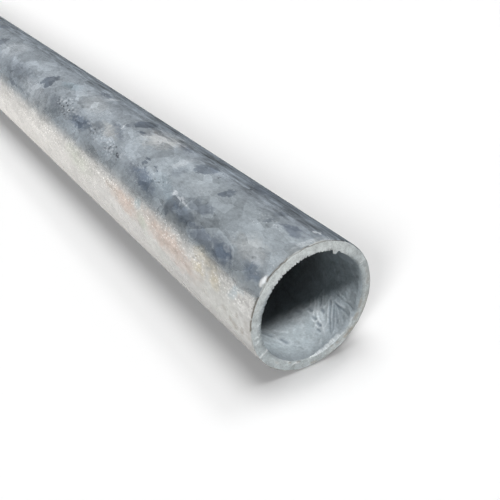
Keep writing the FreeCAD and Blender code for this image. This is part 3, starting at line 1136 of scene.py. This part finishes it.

    # White grains and dark pits, in fields; the white grains of the fields are painted glints
    fields = addMarks(tree, surface, speckleFields, speckleLook["fieldSoft"], ragged)
    stray = addNode(tree, "ShaderNodeMapRange", {"Value": cloud, **speckleLook["stray"]})
    for also in (stray, glintBand):
        fields = addNode(tree, "ShaderNodeMath", {0: fields, 1: also}, operation="MAXIMUM")
    clusters = addMarks(tree, surface, grainClusters, speckleLook["clusterSoft"], ragged)
    thinned = addNode(tree, "ShaderNodeMath", {
        0: flank, 1: -spec["flankPitLoss"], 2: 1}, operation="MULTIPLY_ADD")
    thinned = addNode(tree, "ShaderNodeMath", {0: fields, 1: thinned}, operation="MULTIPLY")
    where = {"fields": fields, "thinned": thinned, "clusters": clusters}
    for size, hexColour, reach, field in speckles.values():
        dots = addNode(tree, "ShaderNodeTexVoronoi", {"Vector": inMm, "Scale": 1 / size})
        dot = addNode(tree, "ShaderNodeMapRange", {
            "Value": dots.outputs["Distance"], "From Min": reach, "From Max": reach - speckleLook["dotSoft"],
            "To Max": speckleLook["dotShare"]})
        dot = addNode(tree, "ShaderNodeMath", {0: dot, 1: where[field]}, operation="MULTIPLY")
        colour = layOver(tree, colour, (dot, hexColour))
    colour = addNode(tree, "ShaderNodeMix", {
        0: 1, 6: colour, 7: tone}, data_type="RGBA", blend_type="MULTIPLY")
    # The drop's near white is a painted highlight, the crevice's dark brown painted shade
    spots = {}
    for name in ("drop", "chip", "crevice"):
        spots[name] = addNode(tree, "ShaderNodeAttribute", attribute_name=name).outputs["Fac"]
        colour = layOver(tree, colour, (spots[name], spec[name + "Colour"]))
    tree.links.new(colour.outputs[2], shader.inputs["Base Color"])

    # Gloss differs by crystal, and each crystal lies at its own slight angle
    spread = spec["roughnessSpread"]
    gloss = addNode(tree, "ShaderNodeMath", {
        0: smallParts.outputs[1], 1: spread, 2: spec["roughness"] - spread / 2}, operation="MULTIPLY_ADD")
    tree.links.new(gloss.outputs[0], shader.inputs["Roughness"])
    bare = addNode(tree, "ShaderNodeMath", {0: spots["chip"], 1: spots["drop"]}, operation="MAXIMUM")
    metal = addNode(tree, "ShaderNodeMath", {
        0: bare, 1: spec["bareMetallic"] - spec["metallic"], 2: spec["metallic"]}, operation="MULTIPLY_ADD")
    tree.links.new(metal.outputs[0], shader.inputs["Metallic"])
    form = addNode(tree, "ShaderNodeNewGeometry")
    lean = addNode(tree, "ShaderNodeVectorMath", {
        0: big.outputs["Color"], 1: small.outputs["Color"]}, operation="ADD")
    lean = addNode(tree, "ShaderNodeVectorMath", {0: lean, 1: (1, 1, 1)}, operation="SUBTRACT")
    tilt = addNode(tree, "ShaderNodeMath", {0: spangle, 1: spec["tilt"]}, operation="MULTIPLY")
    lean = addNode(tree, "ShaderNodeVectorMath", {0: lean, "Scale": tilt}, operation="SCALE")
    facing = addNode(tree, "ShaderNodeVectorMath", {0: lean, 1: form.outputs["Normal"]}, operation="ADD")
    facing = addNode(tree, "ShaderNodeVectorMath", {0: facing}, operation="NORMALIZE")
    waves = addNode(tree, "ShaderNodeBump", {
        "Height": slow, "Distance": spec["waveHeight"], "Normal": facing})
    fine = addNode(tree, "ShaderNodeBump", {
        "Height": grain, "Distance": spec["grainHeight"], "Normal": waves})
    tree.links.new(fine.outputs[0], shader.inputs["Normal"])
    return material


def finishMatt(tree, shader, spec, colour, cloud, grain):
    # Cloudy, grainy tone and bump, and the same gloss all over
    tone = addTones(tree, [(cloud, spec["cloudTone"]), (grain, spec["grainTone"])])
    toned = addNode(tree, "ShaderNodeMix", {
        0: 1, 6: colour, 7: tone}, data_type="RGBA", blend_type="MULTIPLY")
    tree.links.new(toned.outputs[2], shader.inputs["Base Color"])
    shader.inputs["Metallic"].default_value = spec["metallic"]
    shader.inputs["Roughness"].default_value = spec["roughness"]
    bump = addNode(tree, "ShaderNodeBump", {"Height": cloud, "Distance": spec["cloudHeight"]})
    bump = addNode(tree, "ShaderNodeBump", {
        "Height": grain, "Distance": spec["grainHeight"], "Normal": bump})
    tree.links.new(bump.outputs[0], shader.inputs["Normal"])


# Zinc in the bore: thick, matt and uneven, as it drained
zincBore = {
    "colour": "#B2BCC1",
    # Paler on the ridges: painted highlight; darker in the hollows: painted shade
    "runsColour": "#DEE5E9",
    "hollowColour": "#87919A",
    # Darker deeper in the bore: painted shade
    "deepColour": "#989DA0",
    "deep": (15 * mm, 28 * mm),
    "mouthColour": "#9AA2A7",  # smoother and duller just inside
    "mouth": (7 * mm, 1 * mm),
    "mouthHeight": (25 * mm, 13 * mm),  # and only low down
    # Crumbs, and the painted highlight along the worn bore edge
    "brightColour": "#EEF2F3",
    "metallic": 0.2,
    "roughness": 0.55,
    "cloud": {"Scale": 0.22, "Detail": 6, "Roughness": 0.62},  # patches of about 5 mm
    "cloudTone": 0.9,
    "cloudHeight": 0.5 * mm,
    "grain": {"Scale": 1.3, "Detail": 3, "Roughness": 0.6},  # and under 1 mm
    "grainTone": 0.7,
    "grainHeight": 0.05 * mm,
}


def makeBoreZinc(spec):
    material, tree, shader = newMaterial("drainedZincBore")
    place = addNode(tree, "ShaderNodeTexCoord").outputs["Object"]
    inMm = addNode(tree, "ShaderNodeMapping", {"Vector": place, "Scale": (1000, 1000, 1000)})
    cloud = addNode(tree, "ShaderNodeTexNoise", {"Vector": inMm, **spec["cloud"]})
    grain = addNode(tree, "ShaderNodeTexNoise", {"Vector": inMm, **spec["grain"]})
    runs, hollow, bright = [
        addNode(tree, "ShaderNodeAttribute", attribute_name=name).outputs["Fac"]
        for name in ("runs", "hollow", "bright")]
    sides = addNode(tree, "ShaderNodeSeparateXYZ", {0: place})
    deep, mouth = [addNode(tree, "ShaderNodeMapRange", {
        "Value": sides.outputs["X"], "From Min": endX - spec[name][0], "From Max": endX - spec[name][1]})
        for name in ("deep", "mouth")]
    low = addNode(tree, "ShaderNodeMapRange", {
        "Value": sides.outputs["Z"], "From Min": spec["mouthHeight"][0], "From Max": spec["mouthHeight"][1]})
    mouth = addNode(tree, "ShaderNodeMath", {0: mouth, 1: low}, operation="MULTIPLY")
    colour = layOver(
        tree, toLinear(spec["colour"]), (runs, spec["runsColour"]), (hollow, spec["hollowColour"]),
        (deep, spec["deepColour"]), (mouth, spec["mouthColour"]), (bright, spec["brightColour"]))
    finishMatt(tree, shader, spec, colour, cloud, grain)
    return material


# The sawn face: torn by the blade, then coated
zincSawn = {
    "colour": "#BAC2C4",
    "upperCutColour": "#D6DBDA",
    # Painted shade beside the teeth and the worn edge
    "edgeShadeColour": "#8F989C",
    "brownedColour": "#A79F93",
    # Painted shade in the crevice and along the lower edge
    "creviceColour": "#6F6A62",
    # White crumbs, with painted highlights on the worn edge and the burr
    "brightColour": "#EEF2F3",
    "metallic": 0.15,
    "roughness": 0.5,
    "cloud": {"Scale": 0.45, "Detail": 5, "Roughness": 0.6},  # patches of about 2 mm
    "cloudTone": 1.2,
    "cloudHeight": 0.3 * mm,
    "grain": {"Scale": 1.8, "Detail": 3, "Roughness": 0.6},  # and about 0.5 mm
    "grainTone": 0.5,
    "grainHeight": 0.06 * mm,
}


def makeSawnZinc(spec):
    material, tree, shader = newMaterial("sawnFaceZinc")
    place = addNode(tree, "ShaderNodeTexCoord").outputs["Object"]
    inMm = addNode(tree, "ShaderNodeMapping", {"Vector": place, "Scale": (1000, 1000, 1000)})
    cloud = addNode(tree, "ShaderNodeTexNoise", {"Vector": inMm, **spec["cloud"]})
    grain = addNode(tree, "ShaderNodeTexNoise", {"Vector": inMm, **spec["grain"]})
    colour = toLinear(spec["colour"])
    for name in ("upperCut", "edgeShade", "browned", "crevice", "bright"):
        part = addNode(tree, "ShaderNodeAttribute", attribute_name=name).outputs["Fac"]
        colour = layOver(tree, colour, (part, spec[name + "Colour"]))
    finishMatt(tree, shader, spec, colour, cloud, grain)
    return material


def dressTube(tube, regions):
    mesh = tube.data
    for material in (makeOutsideZinc(zincOutside), makeBoreZinc(zincBore), makeSawnZinc(zincSawn)):
        mesh.materials.append(material)
    mesh.polygons.foreach_set("material_index", regions)
    bpy.ops.object.select_all(action="DESELECT")
    tube.select_set(True)
    bpy.context.view_layer.objects.active = tube
    bpy.ops.object.shade_smooth_by_angle(angle=math.radians(tubeMesh["smoothAngle"]))
    print("zinc laid on")


dressTube(tube, regions)


# Stage: white floor, soft light from above, a darker room round it

stage = {
    "floorSize": 30,
    "floorColour": "#F6F6F6",
    "bounceColour": "#9A9A9A",  # what the floor throws back into the bore
    "twiceColour": "#303030",  # and what the tube throws back to the floor
    "mirrorColour": "#FFFBF5",  # what shines back in the metal
    "mirrorShare": (0.65, 0.25),  # how evenly it does, farther off and at the sawn end
    "mirrorLight": (1.2, 1.05),  # and how brightly
    "mirrorReach": (500 * mm, 740 * mm),
    "farColour": "#737A80",  # what shines back from the far side
    "farReach": 50 * mm,
    "fill": 0.11,
    # The room in the metal, by height from level to straight up, its two ends first
    "room": [
        (0.0, (0.32, 0.35, 0.37, 1)), (1.0, (0.4, 0.42, 0.445, 1)), (0.2, (0.32, 0.355, 0.385, 1)),
        (0.34, (0.455, 0.49, 0.53, 1)), (0.5, (0.59, 0.635, 0.68, 1)), (0.66, (0.66, 0.71, 0.75, 1))],
}

lamps = {
    # Towards the lamp: degrees from +X towards +Y, and above the floor
    "overhead": {"turn": 192, "height": 84.7, "size": 37, "energy": 1.77, "lights": "floor"},
    "back": {"turn": 111, "height": 62, "size": 13.5, "energy": 0.5, "lights": "floor"},
    "side": {"turn": 306.7, "height": 26.5, "size": 13, "energy": 2.03, "lights": "floor"},
    "mouth": {"turn": -17, "height": 62, "size": 13, "energy": 3.65, "lights": "tube"},
}


def addFloor(spec):
    bpy.ops.object.select_all(action="DESELECT")
    bpy.ops.mesh.primitive_plane_add(size=spec["floorSize"], location=(0, 0, 0))
    floor = bpy.context.object
    floor.name = "paleFloor"
    paper = bpy.data.materials.new("matWhitePaper")
    paper.use_nodes = True
    tree = paper.node_tree
    tree.nodes.clear()
    path = addNode(tree, "ShaderNodeLightPath")
    glossyRay, bounces = path.outputs["Is Glossy Ray"], path.outputs["Diffuse Depth"]
    place = addNode(tree, "ShaderNodeTexCoord")
    sides = addNode(tree, "ShaderNodeSeparateXYZ", {0: place.outputs["Object"]})
    away = addNode(tree, "ShaderNodeMapRange", {
        "Value": sides.outputs["Y"], "From Min": 0, "From Max": spec["farReach"]})
    twice = addNode(tree, "ShaderNodeMath", {0: glossyRay, 1: bounces}, operation="MULTIPLY")
    paleness = layOver(
        tree, toLinear(spec["floorColour"]), (path.outputs["Is Diffuse Ray"], spec["bounceColour"]),
        (twice, spec["twiceColour"]))
    matt = addNode(tree, "ShaderNodeBsdfDiffuse", {"Color": paleness})
    even, light = [addNode(tree, "ShaderNodeMapRange", {
        "Value": sides.outputs["X"], "From Min": spec["mirrorReach"][0], "From Max": spec["mirrorReach"][1],
        "To Min": spec[name][0], "To Max": spec[name][1]}) for name in ("mirrorShare", "mirrorLight")]
    tint = layOver(tree, toLinear(spec["mirrorColour"]), (away, spec["farColour"]))
    shine = addNode(tree, "ShaderNodeEmission", {"Color": tint, "Strength": light})
    share = addNode(tree, "ShaderNodeMix", {0: away, 2: even, 3: 1.0})
    straight = addNode(tree, "ShaderNodeMath", {0: glossyRay, 1: bounces}, operation="GREATER_THAN")
    part = addNode(tree, "ShaderNodeMath", {0: straight, 1: share}, operation="MULTIPLY")
    mixed = addNode(tree, "ShaderNodeMixShader", {0: part, 1: matt, 2: shine})
    addNode(tree, "ShaderNodeOutputMaterial", {"Surface": mixed})
    floor.data.materials.append(paper)
    return floor


def addRoom(spec):
    world = bpy.data.worlds.new("softRoom")
    bpy.context.scene.world = world
    world.use_nodes = True
    tree = world.node_tree
    tree.nodes.clear()
    place = addNode(tree, "ShaderNodeTexCoord")
    sides = addNode(tree, "ShaderNodeSeparateXYZ", {0: place.outputs["Generated"]})
    room = addNode(tree, "ShaderNodeValToRGB", {0: sides.outputs["Z"]}, stops=spec["room"])
    path = addNode(tree, "ShaderNodeLightPath")
    straight = addNode(tree, "ShaderNodeMath", {
        0: path.outputs["Is Glossy Ray"], 1: path.outputs["Diffuse Depth"]}, operation="GREATER_THAN")
    plain = addNode(tree, "ShaderNodeMix", {
        0: straight, 6: [spec["fill"]] * 3 + [1], 7: room}, data_type="RGBA")
    seen = layOver(tree, plain, (path.outputs["Is Camera Ray"], "#FFFFFF"))
    light = addNode(tree, "ShaderNodeBackground", {"Color": seen, "Strength": 1.0})
    addNode(tree, "ShaderNodeOutputWorld", {"Surface": light})


def addLamps(specs, targets):
    for name, spec in specs.items():
        turn, height = math.radians(spec["turn"]), math.radians(spec["height"])
        level = math.cos(height)
        towards = Vector((level * math.cos(turn), level * math.sin(turn), math.sin(height)))
        bpy.ops.object.light_add(type="SUN", rotation=towards.to_track_quat("Z", "Y").to_euler())
        lamp = bpy.context.object
        lamp.name = name + "Lamp"
        lamp.data.energy = spec["energy"]
        lamp.data.angle = math.radians(spec["size"])
        lamp.visible_glossy = False
        lit = bpy.data.collections.new(name + "Lit")
        lit.objects.link(targets[spec["lights"]])
        lamp.light_linking.receiver_collection = lit


floor = addFloor(stage)
addRoom(stage)
addLamps(lamps, {"floor": floor, "tube": tube})
print("stage set")

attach(tube, "root")
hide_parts("post_tube")

bpy.context.scene.view_settings.view_transform = "Standard"
